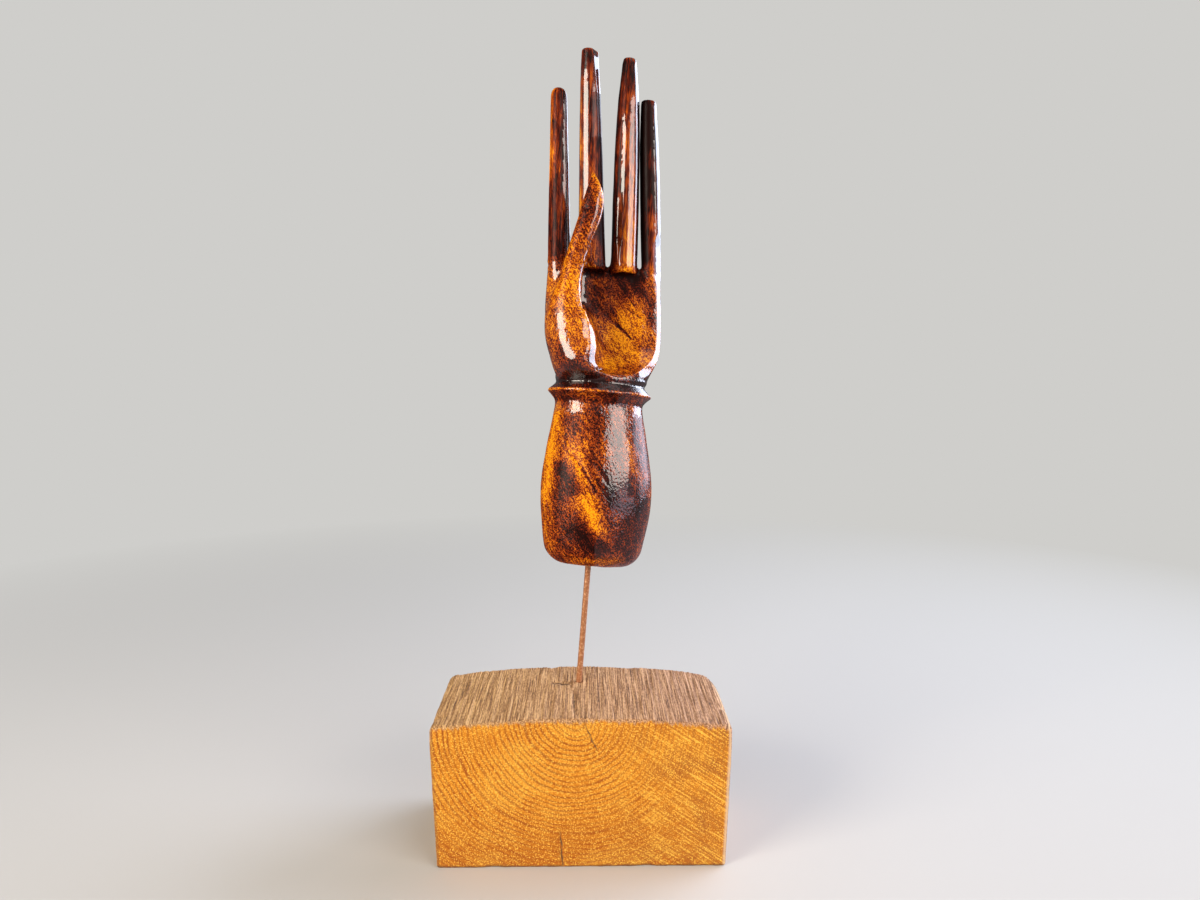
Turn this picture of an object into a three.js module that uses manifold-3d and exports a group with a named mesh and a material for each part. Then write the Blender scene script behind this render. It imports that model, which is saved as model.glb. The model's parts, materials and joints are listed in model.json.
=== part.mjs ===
// Carved wooden hand on a thin steel rod that stands in a weathered timber block.
// Millimetres. +Z is up and -Y is the front, where the palm and the block's end grain face.
// The origin is at the centre of the block's underside.
import * as THREE from "three";
import { mergeVertices } from "three/addons/utils/BufferGeometryUtils.js";
import Module from "manifold-3d";

const wasm = await Module();
wasm.setup();

// Timber block
const BLOCK_WIDTH = 140;
const BLOCK_FOOT_WIDTH = 135;
const BLOCK_DEPTH = 68;
const BLOCK_SHOULDER_HEIGHT = 68.4;
const BLOCK_CROWN_RISE = 4.1;
const BLOCK_TOP_CORNER = 3.4;
const BLOCK_FOOT_CORNER = 2;
const BLOCK_ARRIS = 1.2;
const BLOCK_CORNER_DROP = 0.6;

// Steel rod, its two sockets and its lean to the side and to the back
const ROD_DIAMETER = 3;
const ROD_FREE_LENGTH = 59.8;
const ROD_IN_BLOCK = 40;
const ROD_IN_HAND = 50;
const ROD_CHAMFER = 0.4;
const BORE_GAP = 0.3;
const HOLE_X = -1.3;
const HOLE_Y = 13;
const LEAN_SIDE_DEGREES = 4.7;
const LEAN_BACK_DEGREES = 7.43;

// Forearm, from its foot up to the bracelet
const FOREARM_LENGTH = 82.6;
const FOOT_WIDTH = 47.2;
const FOOT_DEPTH = 40;
const FOOT_ROUND = 9;
const FOOT_SHIFT = 1.5;
const FOREARM_WIDTH = 56.6;
const FOREARM_DEPTH = 48;
const FOREARM_BULGE_AT = 34;
const FOREARM_SHIFT = 1.1;
const WRIST_WIDTH = 43.6;
const WRIST_DEPTH = 38;
const WRIST_SHIFT = -1.2;

// Bracelet with a sharp rim, and the bead above it
const BRACELET_HEIGHT = 8.5;
const BRACELET_WIDTH = 53.4;
const BRACELET_DEPTH = 46.5;
const BEAD_HEIGHT = 3.6;
const BEAD_RISE = 0.8;

// Palm, from the bracelet up to the finger roots
const PALM_LENGTH = 58;
const NECK_WIDTH = 46.2;
const NECK_SHIFT = -0.9;
const HEEL_WIDTH = 55.2;
const HEEL_DEPTH = 37;
const HEEL_AT = 13.8;
const HEEL_SHIFT = -0.7;
const PALM_WIDTH = 59.6;
const PALM_DEPTH = 33;
const PALM_WIDEST_AT = 33;
const PALM_SHIFT = -2;
const KNUCKLE_WIDTH = 58.2;
const KNUCKLE_DEPTH = 15;
const KNUCKLE_SHIFT = -3.4;
const KNUCKLE_ROUND = 2.5;
const PALM_TURN_DEGREES = 9;
const PALM_FORWARD_DEGREES = 3;

// Scooped hollow of the palm
const HOLLOW_START = 2.4;
const HOLLOW_FRONT = -24;
const HOLLOW_OVERRUN = 1;
const THUMB_UNDERCUT = 5;
const UNDERCUT_FROM = 0.52;
const UNDERCUT_TO = 0.74;
const HOLLOW = [
  { t: 0, left: 7, right: 13, floor: -21 },
  { t: 0.06, left: -2.5, right: 22, floor: -15 },
  { t: 0.14, left: -6.2, right: 29, floor: -9 },
  { t: 0.28, left: -8.8, right: 35, floor: -3.5 },
  { t: 0.47, left: -10.6, right: 38, floor: -1.2 },
  { t: 0.66, left: -14.2, right: 39, floor: -0.5 },
  { t: 0.85, left: -14, right: 39, floor: -0.5 },
  { t: 1, left: -13, right: 39, floor: -0.5 },
];

// Fingers: where each stands at its root and tip, its length, its widths from root to tip,
// and whether it flows into the palm instead of standing over the hollow
const FINGERS = [
  {
    name: "index", rootX: -26.6, tipX: -33.6, standY: -3.5, length: 87.8,
    rootWidth: 11.8, middleWidth: 9.4, endWidth: 8.1, dome: 4.4,
  },
  {
    name: "middle", rootX: -10, tipX: -19.9, standY: -0.5, length: 110.1,
    rootWidth: 14, middleWidth: 11.1, endWidth: 9.2, dome: 3.4,
  },
  {
    name: "ring", rootX: 6.4, tipX: 0.6, standY: 3, length: 108.7,
    rootWidth: 13.6, middleWidth: 12.3, endWidth: 9, dome: 6,
  },
  {
    name: "little", rootX: 20.7, tipX: 11.9, standY: 6, length: 89,
    rootWidth: 10, middleWidth: 9.9, endWidth: 8.4, dome: 3.2, flows: true,
  },
];
const FINGER_MIDDLE_AT = 0.65;
const FINGER_DEPTH_RATIO = 1.08;
const FINGER_DOME_BLUNTNESS = 0.8;
const FINGER_ROOT_SINK = 14;
const FINGER_SINK_TAPER = 0.5;

// Thumb, from the ball of the thumb beside the wrist up to the leaf-shaped tip
const THUMB = [
  { up: 1, x: -5, y: -6.6, width: 36, depth: 24.6 },
  { up: 5, x: -6.4, y: -9, width: 37, depth: 28.6 },
  { up: 11, x: -8.6, y: -10.6, width: 37.6, depth: 31 },
  { up: 21, x: -14.6, y: -10.8, width: 32, depth: 29.2 },
  { up: 30, x: -16, y: -11.1, width: 31, depth: 26.6 },
  { up: 37.5, x: -18.5, y: -12, width: 24.8, depth: 22.6 },
  { up: 43.5, x: -20.4, y: -14.2, width: 14.4, depth: 17 },
  { up: 51.5, x: -19.5, y: -16.4, width: 10.6, depth: 12.6 },
  { up: 60.5, x: -18, y: -17.6, width: 10, depth: 10.4 },
  { up: 70.5, x: -15.4, y: -18.2, width: 10.4, depth: 9.4 },
  { up: 79.5, x: -12.9, y: -18.5, width: 10.9, depth: 8.8 },
  { up: 86.5, x: -11.8, y: -18.5, width: 10.3, depth: 8 },
  { up: 92.5, x: -11.6, y: -18.3, width: 7.8, depth: 6.8 },
  { up: 97, x: -12.1, y: -18, width: 4.2, depth: 4.8 },
  { up: 101.2, x: -12.9, y: -17.6, width: 0.8, depth: 1.2 },
];

// Roundness of the carved sections: 2 is an ellipse, more is squarer
const ARM_POWER = 2.2;
const HEEL_POWER = 2.15;
const KNUCKLE_POWER = 2.5;
const FINGER_POWER = 2.2;
const THUMB_BALL_POWER = 2.1;
const THUMB_BACK_POWER = 2.2;
const THUMB_EDGE_POWER = 3.6;
const THUMB_EDGE_FROM = 38;
const THUMB_EDGE_TO = 58;
const HOLLOW_LOW_POWER = 2.6;
const HOLLOW_TOP_POWER = 8;

// Fineness of the faceting
const ARM_POINTS = 36;
const FINGER_POINTS = 18;
const THUMB_POINTS = 18;
const HOLLOW_POINTS = 36;
const ROD_POINTS = 24;
const FOOT_RINGS = 5;
const FOREARM_RINGS = 12;
const BEAD_RINGS = 4;
const PALM_RINGS = 12;
const KNUCKLE_RINGS = 3;
const THUMB_RINGS = 26;
const FINGER_SINK_RINGS = 3;
const FINGER_RINGS = 11;
const DOME_RINGS = 4;
const DOME_SHARE = 0.4;
const HOLLOW_RINGS = 18;
const BLOCK_CURVE_STEPS = 10;
const BLOCK_ARRIS_STEPS = 2;

// How far a boring tool runs out past the surface
const BORE_OVERRUN = 12;

// Heights in the hand's own frame, from the flat foot of the forearm
const braceletRimZ = FOREARM_LENGTH + BRACELET_HEIGHT / 2;
const neckZ = FOREARM_LENGTH + BRACELET_HEIGHT;
const rootZ = neckZ + PALM_LENGTH;
const forwardSlope = Math.tan(THREE.MathUtils.degToRad(PALM_FORWARD_DEGREES));

// Forward shift of the palm and fingers above the bracelet
function forwardY(z) {
  return -forwardSlope * Math.max(0, z - neckZ);
}

// Smooth value of one named size at a height, through stations in rising order
function through(stations, at, key, place = "z") {
  const last = stations.length - 1;
  let i = 0;
  while (i < last - 1 && at > stations[i + 1][place]) i += 1;
  const slopeOf = (a, b) => {
    const rise = stations[b][key] - stations[a][key];
    return rise / (stations[b][place] - stations[a][place]);
  };
  const tangent = (k) => {
    if (k === 0) return slopeOf(0, 1);
    if (k === last) return slopeOf(last - 1, last);
    const below = stations[k][place] - stations[k - 1][place];
    const above = stations[k + 1][place] - stations[k][place];
    return (slopeOf(k - 1, k) * above + slopeOf(k, k + 1) * below) / (below + above);
  };
  const span = stations[i + 1][place] - stations[i][place];
  const t = THREE.MathUtils.clamp((at - stations[i][place]) / span, 0, 1);
  const t2 = t * t;
  const t3 = t2 * t;
  const start = stations[i][key] * (2 * t3 - 3 * t2 + 1) + tangent(i) * span * (t3 - 2 * t2 + t);
  const end = stations[i + 1][key] * (3 * t2 - 2 * t3) + tangent(i + 1) * span * (t3 - t2);
  return start + end;
}

// Squared-off ellipse of points round a centre at one height, whose front right may be squarer
function ring({ x, y, z, width, depth, power, points, turn = 0, edgePower = power }) {
  const list = [];
  for (let i = 0; i < points; i += 1) {
    const angle = (i / points) * Math.PI * 2;
    const c = Math.cos(angle);
    const s = Math.sin(angle);
    const squareness = s < 0 && c > 0 ? edgePower : power;
    const across = (width / 2) * Math.sign(c) * Math.abs(c) ** (2 / squareness);
    const along = (depth / 2) * Math.sign(s) * Math.abs(s) ** (2 / squareness);
    list.push(new THREE.Vector3(
      x + across * Math.cos(turn) - along * Math.sin(turn),
      y + across * Math.sin(turn) + along * Math.cos(turn),
      z,
    ));
  }
  return list;
}

// Closed skin through rings of points given from the bottom to the top
function loft(rings) {
  const points = rings[0].length;
  const positions = [];
  const index = [];
  for (const list of rings) {
    for (const p of list) positions.push(p.x, p.y, p.z);
  }
  for (let r = 0; r < rings.length - 1; r += 1) {
    for (let i = 0; i < points; i += 1) {
      const a = r * points + i;
      const b = r * points + ((i + 1) % points);
      index.push(a, b, b + points, a, b + points, a + points);
    }
  }
  const addCap = (list, first, up) => {
    const centre = new THREE.Vector3();
    for (const p of list) centre.addScaledVector(p, 1 / points);
    const middle = positions.length / 3;
    positions.push(centre.x, centre.y, centre.z);
    for (let i = 0; i < points; i += 1) {
      const a = first + i;
      const b = first + ((i + 1) % points);
      if (up) index.push(a, b, middle);
      else index.push(b, a, middle);
    }
  };
  addCap(rings[0], 0, false);
  addCap(rings[rings.length - 1], (rings.length - 1) * points, true);
  const geometry = new THREE.BufferGeometry();
  geometry.setAttribute("position", new THREE.Float32BufferAttribute(positions, 3));
  geometry.setIndex(index);
  return geometry;
}

// Solid of a closed geometry, for joining and cutting
function solid(geometry) {
  const bare = new THREE.BufferGeometry();
  bare.setAttribute("position", geometry.getAttribute("position"));
  bare.setIndex(geometry.getIndex());
  const merged = mergeVertices(bare, 1e-4);
  return new wasm.Manifold(new wasm.Mesh({
    numProp: 3,
    vertProperties: new Float32Array(merged.getAttribute("position").array),
    triVerts: new Uint32Array(merged.getIndex().array),
  }));
}

// Named mesh of a solid
function meshOf(name, body, material) {
  const data = body.getMesh();
  const geometry = new THREE.BufferGeometry();
  geometry.setAttribute("position", new THREE.Float32BufferAttribute(data.vertProperties, 3));
  geometry.setIndex(Array.from(data.triVerts));
  geometry.computeVertexNormals();
  const mesh = new THREE.Mesh(geometry, material);
  mesh.name = name;
  return mesh;
}

// Evenly spaced numbers from one value to another, both included
function steps(from, to, count) {
  const list = [];
  for (let i = 0; i <= count; i += 1) list.push(from + ((to - from) * i) / count);
  return list;
}

// Round bar along Z from a low to a high end, with small chamfers
function bar(diameter, low, high, chamfer) {
  const radius = diameter / 2;
  const profile = [
    new THREE.Vector2(0, low),
    new THREE.Vector2(radius - chamfer, low),
    new THREE.Vector2(radius, low + chamfer),
    new THREE.Vector2(radius, high - chamfer),
    new THREE.Vector2(radius - chamfer, high),
    new THREE.Vector2(0, high),
  ];
  const lathe = new THREE.LatheGeometry(profile, ROD_POINTS);
  lathe.rotateX(Math.PI / 2);
  return lathe;
}

// Forearm, bracelet, bead and palm in one skin
function armSolid() {
  const forearm = [
    { z: 0, width: FOOT_WIDTH, depth: FOOT_DEPTH, x: FOOT_SHIFT },
    { z: FOREARM_BULGE_AT, width: FOREARM_WIDTH, depth: FOREARM_DEPTH, x: FOREARM_SHIFT },
    { z: FOREARM_LENGTH, width: WRIST_WIDTH, depth: WRIST_DEPTH, x: WRIST_SHIFT },
  ];
  const turned = THREE.MathUtils.degToRad(PALM_TURN_DEGREES);
  const palm = [
    { z: neckZ, width: WRIST_WIDTH, depth: WRIST_DEPTH, x: WRIST_SHIFT, turn: 0 },
    { z: neckZ + BEAD_HEIGHT, width: NECK_WIDTH, depth: WRIST_DEPTH, x: NECK_SHIFT, turn: 0 },
    { z: neckZ + HEEL_AT, width: HEEL_WIDTH, depth: HEEL_DEPTH, x: HEEL_SHIFT, turn: turned / 4 },
    {
      z: neckZ + PALM_WIDEST_AT, width: PALM_WIDTH, depth: PALM_DEPTH, x: PALM_SHIFT,
      turn: turned / 2,
    },
    { z: rootZ, width: KNUCKLE_WIDTH, depth: KNUCKLE_DEPTH, x: KNUCKLE_SHIFT, turn: turned },
  ];
  const rings = [];
  const addForearm = (z, inset) => rings.push(ring({
    x: through(forearm, z, "x"), y: 0, z,
    width: through(forearm, z, "width") - 2 * inset,
    depth: through(forearm, z, "depth") - 2 * inset,
    power: ARM_POWER, points: ARM_POINTS,
  }));
  const addPalm = (z, grow) => rings.push(ring({
    x: through(palm, z, "x"), y: forwardY(z), z,
    width: through(palm, z, "width") + 2 * grow,
    depth: through(palm, z, "depth") + 2 * grow,
    turn: through(palm, z, "turn"),
    power: THREE.MathUtils.mapLinear(z, neckZ, rootZ, HEEL_POWER, KNUCKLE_POWER),
    points: ARM_POINTS,
  }));
  for (const angle of steps(0, Math.PI / 2, FOOT_RINGS)) {
    addForearm(FOOT_ROUND * (1 - Math.cos(angle)), FOOT_ROUND * (1 - Math.sin(angle)));
  }
  for (const z of steps(FOOT_ROUND, FOREARM_LENGTH, FOREARM_RINGS).slice(1)) addForearm(z, 0);
  rings.push(ring({
    x: WRIST_SHIFT, y: 0, z: braceletRimZ, width: BRACELET_WIDTH, depth: BRACELET_DEPTH,
    power: ARM_POWER, points: ARM_POINTS,
  }));
  addPalm(neckZ, 0);
  for (const angle of steps(0, Math.PI, BEAD_RINGS).slice(1)) {
    addPalm(neckZ + (BEAD_HEIGHT * (1 - Math.cos(angle))) / 2, BEAD_RISE * Math.sin(angle));
  }
  for (const z of steps(neckZ + BEAD_HEIGHT, rootZ, PALM_RINGS).slice(1)) addPalm(z, 0);
  for (const angle of steps(0, Math.PI / 2, KNUCKLE_RINGS).slice(1)) {
    addPalm(rootZ + KNUCKLE_ROUND * Math.sin(angle), -KNUCKLE_ROUND * (1 - Math.cos(angle)));
  }
  return solid(loft(rings));
}

// Ball of the thumb and the thumb itself
function thumbSolid() {
  const low = THUMB[0].up;
  const high = THUMB[THUMB.length - 1].up;
  const rings = steps(low, high, THUMB_RINGS).map((up) => {
    const crisp = THREE.MathUtils.smoothstep(up, THUMB_EDGE_FROM, THUMB_EDGE_TO);
    return ring({
      x: through(THUMB, up, "x", "up"),
      y: through(THUMB, up, "y", "up") + forwardY(neckZ + up),
      z: neckZ + up,
      width: through(THUMB, up, "width", "up"),
      depth: through(THUMB, up, "depth", "up"),
      power: THREE.MathUtils.lerp(THUMB_BALL_POWER, THUMB_BACK_POWER, crisp),
      edgePower: THREE.MathUtils.lerp(THUMB_BALL_POWER, THUMB_EDGE_POWER, crisp),
      points: THUMB_POINTS,
    });
  });
  return solid(loft(rings));
}

// One tapering finger with a domed tip
function fingerSolid(finger) {
  const widths = [
    { t: 0, width: finger.rootWidth },
    { t: FINGER_MIDDLE_AT, width: finger.middleWidth },
    { t: 1, width: finger.endWidth },
  ];
  const straight = finger.length - finger.dome;
  const rings = [];
  const add = (up, shrink) => {
    const z = rootZ + up;
    const width = through(widths, Math.max(0, up) / straight, "width", "t") * shrink;
    rings.push(ring({
      x: THREE.MathUtils.lerp(finger.rootX, finger.tipX, up / finger.length),
      y: finger.standY + forwardY(z), z,
      width, depth: width * FINGER_DEPTH_RATIO,
      power: FINGER_POWER, points: FINGER_POINTS,
    }));
  };
  for (const up of steps(-FINGER_ROOT_SINK, 0, FINGER_SINK_RINGS)) {
    add(up, 1 + (FINGER_SINK_TAPER * up) / FINGER_ROOT_SINK);
  }
  for (const up of steps(0, straight, FINGER_RINGS).slice(1)) add(up, 1);
  for (const angle of steps(0, Math.PI * DOME_SHARE, DOME_RINGS).slice(1)) {
    add(straight + finger.dome * Math.sin(angle), Math.cos(angle) ** FINGER_DOME_BLUNTNESS);
  }
  return solid(loft(rings));
}

// Tool that scoops out the palm, open to the front and to the little finger's side
function hollowSolid(above, undercut) {
  const start = neckZ + HOLLOW_START;
  const rise = rootZ - start;
  const rings = steps(0, 1, HOLLOW_RINGS).map((t) => {
    const behind = undercut * THREE.MathUtils.smoothstep(t, UNDERCUT_FROM, UNDERCUT_TO);
    const left = through(HOLLOW, t, "left", "t") - behind;
    const right = through(HOLLOW, t, "right", "t");
    const floor = through(HOLLOW, t, "floor", "t");
    return ring({
      x: (left + right) / 2, y: HOLLOW_FRONT, z: start + rise * t + (t === 1 ? above : 0),
      width: right - left, depth: 2 * (floor - HOLLOW_FRONT),
      power: THREE.MathUtils.lerp(HOLLOW_LOW_POWER, HOLLOW_TOP_POWER, t), points: HOLLOW_POINTS,
    });
  });
  return solid(loft(rings));
}

// Block with tapering sides, a crowned top and eased edges, standing on the floor
function blockGeometry() {
  const half = BLOCK_WIDTH / 2 - BLOCK_ARRIS;
  const foot = BLOCK_FOOT_WIDTH / 2 - BLOCK_ARRIS;
  const low = BLOCK_ARRIS;
  const shoulder = BLOCK_SHOULDER_HEIGHT - BLOCK_ARRIS;
  const crown = shoulder + BLOCK_CROWN_RISE;
  const corner = BLOCK_TOP_CORNER;
  const ease = BLOCK_FOOT_CORNER;
  const chord = half - corner;
  const radius = (chord * chord + BLOCK_CROWN_RISE * BLOCK_CROWN_RISE) / (2 * BLOCK_CROWN_RISE);
  const sweep = Math.asin(chord / radius);
  const outline = new THREE.Shape();
  outline.moveTo(-foot + ease, low);
  outline.lineTo(foot - ease, low);
  outline.quadraticCurveTo(foot, low, foot, low + ease);
  outline.lineTo(half, shoulder - corner);
  outline.quadraticCurveTo(half, shoulder - BLOCK_CORNER_DROP, half - corner, shoulder);
  outline.absarc(0, crown - radius, radius, Math.PI / 2 - sweep, Math.PI / 2 + sweep, false);
  outline.quadraticCurveTo(-half, shoulder - BLOCK_CORNER_DROP, -half, shoulder - corner);
  outline.lineTo(-foot, low + ease);
  outline.quadraticCurveTo(-foot, low, -foot + ease, low);
  const geometry = new THREE.ExtrudeGeometry(outline, {
    depth: BLOCK_DEPTH - 2 * BLOCK_ARRIS, steps: 1, curveSegments: BLOCK_CURVE_STEPS,
    bevelEnabled: true, bevelThickness: BLOCK_ARRIS, bevelSize: BLOCK_ARRIS,
    bevelSegments: BLOCK_ARRIS_STEPS,
  });
  geometry.translate(0, 0, -(BLOCK_DEPTH / 2 - BLOCK_ARRIS));
  geometry.rotateX(Math.PI / 2);
  return geometry;
}

// Frame of the leaning rod: its place where it leaves the block, and its direction
const rodAxis = new THREE.Vector3(
  Math.tan(THREE.MathUtils.degToRad(LEAN_SIDE_DEGREES)),
  Math.tan(THREE.MathUtils.degToRad(LEAN_BACK_DEGREES)),
  1,
).normalize();
const rodSide = new THREE.Vector3(1, 0, 0).addScaledVector(rodAxis, -rodAxis.x).normalize();
const rodBack = new THREE.Vector3().crossVectors(rodAxis, rodSide);
const rodFrame = new THREE.Matrix4().makeBasis(rodSide, rodBack, rodAxis);
rodFrame.setPosition(HOLE_X, HOLE_Y, BLOCK_SHOULDER_HEIGHT + BLOCK_CROWN_RISE);

const varnishedWood = new THREE.MeshStandardMaterial({
  name: "varnished_hardwood", color: 0x8f4e1e, roughness: 0.35,
});
const rustySteel = new THREE.MeshStandardMaterial({
  name: "rusty_steel", color: 0xa8744c, roughness: 0.6, metalness: 0.5,
});
const weatheredTimber = new THREE.MeshStandardMaterial({
  name: "weathered_timber", color: 0xcf8c3a, roughness: 0.8,
});

const boreWidth = ROD_DIAMETER + 2 * BORE_GAP;

// Block with its leaning hole
const blockBore = bar(boreWidth, -ROD_IN_BLOCK - BORE_GAP, BORE_OVERRUN, 0);
blockBore.applyMatrix4(rodFrame);
const blockBody = solid(blockGeometry()).subtract(solid(blockBore));
const baseBlock = meshOf("base_block", blockBody, weatheredTimber);

// Rod from the bottom of its hole to the bottom of the hand's socket
const rodBar = bar(ROD_DIAMETER, -ROD_IN_BLOCK, ROD_FREE_LENGTH + ROD_IN_HAND, ROD_CHAMFER);
const mountingRod = meshOf("mounting_rod", solid(rodBar), rustySteel);

// Hand joined from its carved masses, hollowed and drilled
const openPalm = armSolid().subtract(hollowSolid(KNUCKLE_ROUND + HOLLOW_OVERRUN, THUMB_UNDERCUT));
const underFingers = hollowSolid(0, THUMB_UNDERCUT);
let handBody = openPalm.add(thumbSolid().subtract(hollowSolid(0, 0)));
for (const finger of FINGERS) {
  const whole = fingerSolid(finger);
  handBody = handBody.add(finger.flows ? whole : whole.subtract(underFingers));
}
handBody = handBody.subtract(solid(bar(boreWidth, -BORE_OVERRUN, ROD_IN_HAND + BORE_GAP, 0)));
const carvedHand = meshOf("carved_hand", handBody, varnishedWood);
carvedHand.position.z = ROD_FREE_LENGTH;

// Rod and hand stand together in the leaning frame
const swivel = new THREE.Group();
swivel.name = "swivel";
swivel.add(mountingRod, carvedHand);
swivel.applyMatrix4(rodFrame);

const part = new THREE.Group();
part.name = "carved_buddha_hand";
part.add(baseBlock, swivel);

export default part;
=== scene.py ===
"""Looks of a carved hand that stands on a rod in a timber block.

Laid out as a Blender add-on and run as a script. Each piece has its operator, and the sizes and
colours are properties. The pieces are in metres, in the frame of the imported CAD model. The tables of
places, heights and patterns are in millimetres.
"""

import json
import math

import bmesh
import bpy
import numpy as np
from bpy.props import FloatProperty, FloatVectorProperty, IntVectorProperty, PointerProperty
from mathutils import Color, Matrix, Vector, noise


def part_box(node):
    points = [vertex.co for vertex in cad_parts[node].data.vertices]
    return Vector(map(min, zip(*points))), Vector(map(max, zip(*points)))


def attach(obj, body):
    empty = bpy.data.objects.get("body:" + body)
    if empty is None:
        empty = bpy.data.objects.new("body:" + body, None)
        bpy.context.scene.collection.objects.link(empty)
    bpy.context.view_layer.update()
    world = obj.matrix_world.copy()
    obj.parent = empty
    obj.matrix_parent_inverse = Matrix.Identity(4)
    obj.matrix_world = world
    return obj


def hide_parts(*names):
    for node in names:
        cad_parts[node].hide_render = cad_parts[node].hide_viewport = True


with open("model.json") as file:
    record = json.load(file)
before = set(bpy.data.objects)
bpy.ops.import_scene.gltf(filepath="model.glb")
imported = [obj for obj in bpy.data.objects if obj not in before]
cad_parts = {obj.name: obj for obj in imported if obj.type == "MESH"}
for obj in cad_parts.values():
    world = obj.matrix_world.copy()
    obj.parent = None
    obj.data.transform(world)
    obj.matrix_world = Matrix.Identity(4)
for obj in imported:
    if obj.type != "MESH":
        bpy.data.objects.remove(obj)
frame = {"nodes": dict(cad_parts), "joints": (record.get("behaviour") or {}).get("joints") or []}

bl_info = {
    "name": "Carved Hand Looks",
    "version": (1, 0, 0),
    "blender": (4, 5, 0),
    "location": "View3D > Sidebar > Carved Hand",
    "description": "Builds the varnished hand, the weathered block, the rusty rod and the studio",
    "category": "Object",
}

MM = 0.001

# Places on the hand are in millimetres in its own frame: across, back and up from the forearm's foot
CREASE = ((-11.5, -7.0, 132.6), (-6.4, -3.6, 129.7), (-0.7, -1.7, 126.9),
          (5.9, -1.2, 122.0), (11.0, -1.5, 117.6), (14.5, -1.8, 114.6))
SIDE_CREASE = ((8.3, -0.6, 131.7), (14.0, -0.6, 128.6), (19.8, -0.9, 125.5))
LOW_CREASE = ((15.5, -2.0, 109.0), (12.0, -3.0, 105.5), (9.0, -4.5, 102.5))
FOREARM_CRACK = ((-21.0, -14.0, 67.0), (-18.9, -16.6, 62.8), (-13.6, -20.5, 56.6),
                 (-8.5, -22.6, 50.4), (-2.6, -23.7, 42.4), (2.5, -23.8, 34.5))
FOREARM_NICK = ((-1.6, -23.4, 53.0), (2.0, -23.8, 47.0), (6.2, -23.8, 40.5))
FOREARM_LINE = ((-24.5, -11.0, 36.0), (-20.5, -16.0, 22.0), (-16.0, -17.5, 8.0))
THUMB_CRACK = ((-16.2, -25.8, 175.0), (-14.1, -26.9, 173.6), (-11.6, -27.0, 172.8))
THUMB_FACET = ((-17.2, -24.0, 176.5), (-15.0, -24.0, 181.0), (-12.8, -23.5, 186.0))
CRACKS = ((CREASE, 1.1), (SIDE_CREASE, 0.4), (LOW_CREASE, 0.4), (FOREARM_CRACK, 0.85),
          (FOREARM_NICK, 0.5), (FOREARM_LINE, 0.45), (THUMB_CRACK, 0.45), (THUMB_FACET, 0.55))

# Stain on the hand, and painted light and shade: from, to, radius, and how much darker, or paler where
# it is negative
STAINS_AND_PAINTED_LIGHT = (
    # Ball of the thumb and thumb
    # Painted light: the ball of the thumb is paler, as if lit from the left
    ((-18, -20, 110), (-20, -22, 136), 14, -0.16),
    ((-20, -24, 138), (-16, -26, 158), 8, 0.02),
    ((-17, -25, 188), (-14, -26, 171), 4.5, 0.30),
    ((-9, -25, 189), (-8, -25, 178), 2.8, -0.22),
    ((-24, -16, 108), (-15, -24, 97), 8.5, 0.44),
    # Hollow of the palm
    # Painted shade: the upper hollow is darker below the finger roots
    ((-11, -4, 142), (22, -1, 144), 8, 0.34),
    # Painted shade: the upper left of the hollow is darker behind the thumb's crest
    ((-11, -4, 133), (-1, -2, 128), 4.5, 0.40),
    ((22, -1, 132), (24, -1, 124), 4, 0.24),
    ((2, -8, 112), (14, -4, 118), 13, -0.22),
    ((-2, -6, 114), (2, -5, 108), 3, 0.16),
    # Painted shade: a dark line on the ledge under the overhanging finger roots
    ((-14, -8, 149), (16, 0, 148), 3, 0.34),
    # Forearm
    # Painted light: the forearm's left edge is paler, as if lit from the left
    ((-24, -10, 76), (-26, -12, 34), 5, -0.46),
    ((-17, -17, 69), (-5, -21, 69), 8, 0.16),
    ((-13, -21, 52), (4, -23, 19), 5.5, -0.36),
    ((-18, -19, 48), (-11, -23, 38), 4.5, 0.56),
    ((8, -24, 36), (9, -24, 34), 5, 0.40),
    ((-20, -18, 33), (-12, -17, 5), 6, 0.22),
    ((-5, -22, 19), (4, -21, 10), 6, 0.40),
    ((13, -22, 36), (20, -18, 6), 10, 0.26),
    ((22, -17, 38), (22, -17, 28), 7, 0.24),
    ((8, -21, 80), (13, -24, 44), 7, 0.18),
    ((0, -19, 3), (12, -19, 5), 4, -0.20),
    ((-21, -12, 13), (-19, -13, 8), 5, -0.22),
    # Index finger
    # Painted light: the index finger's left side is paler, as if lit from the left
    ((-38, -9, 238), (-35, -9, 192), 4.5, -0.70),
    ((-30, -9, 230), (-24, -8, 165), 4.5, 0.18),
    ((-33, -12, 237), (-32, -12, 233), 3.5, 0.26),
    ((-26, -12, 164), (-27, -12, 146), 6, 0.18),
    # Middle finger
    # Painted light: the middle finger's left side is paler, as if lit from the left
    ((-24, -10, 240), (-17, -7, 170), 3.4, -0.42),
    ((-14, -9, 250), (-5, -7, 172), 4, 0.12),
    ((-20, -9, 259), (-20, -10, 254), 4.5, 0.16),
    ((-10, -8, 200), (-6, -8, 152), 6, 0.20),
    # Ring finger
    # Painted shade: the ring finger's left side is darker, as a side in shade
    ((-5, -6, 252), (0, 0, 160), 3.4, 0.36),
    ((4, -10, 236), (9, -8, 155), 3.4, -0.20),
    ((1, -7, 257), (1, -8, 246), 5, 0.12),
    ((9, -8, 185), (9, -8, 152), 5, -0.28),
    # Little finger
    # Painted shade: the little finger's left half is darker, in the ring finger's shadow
    ((8, -3, 236), (15, 0, 160), 4.5, 0.75),
    ((12, -3, 238), (17, -3, 190), 7, 0.22),
    ((23, -4, 140), (20, -5, 178), 4, -0.32),
)

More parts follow.
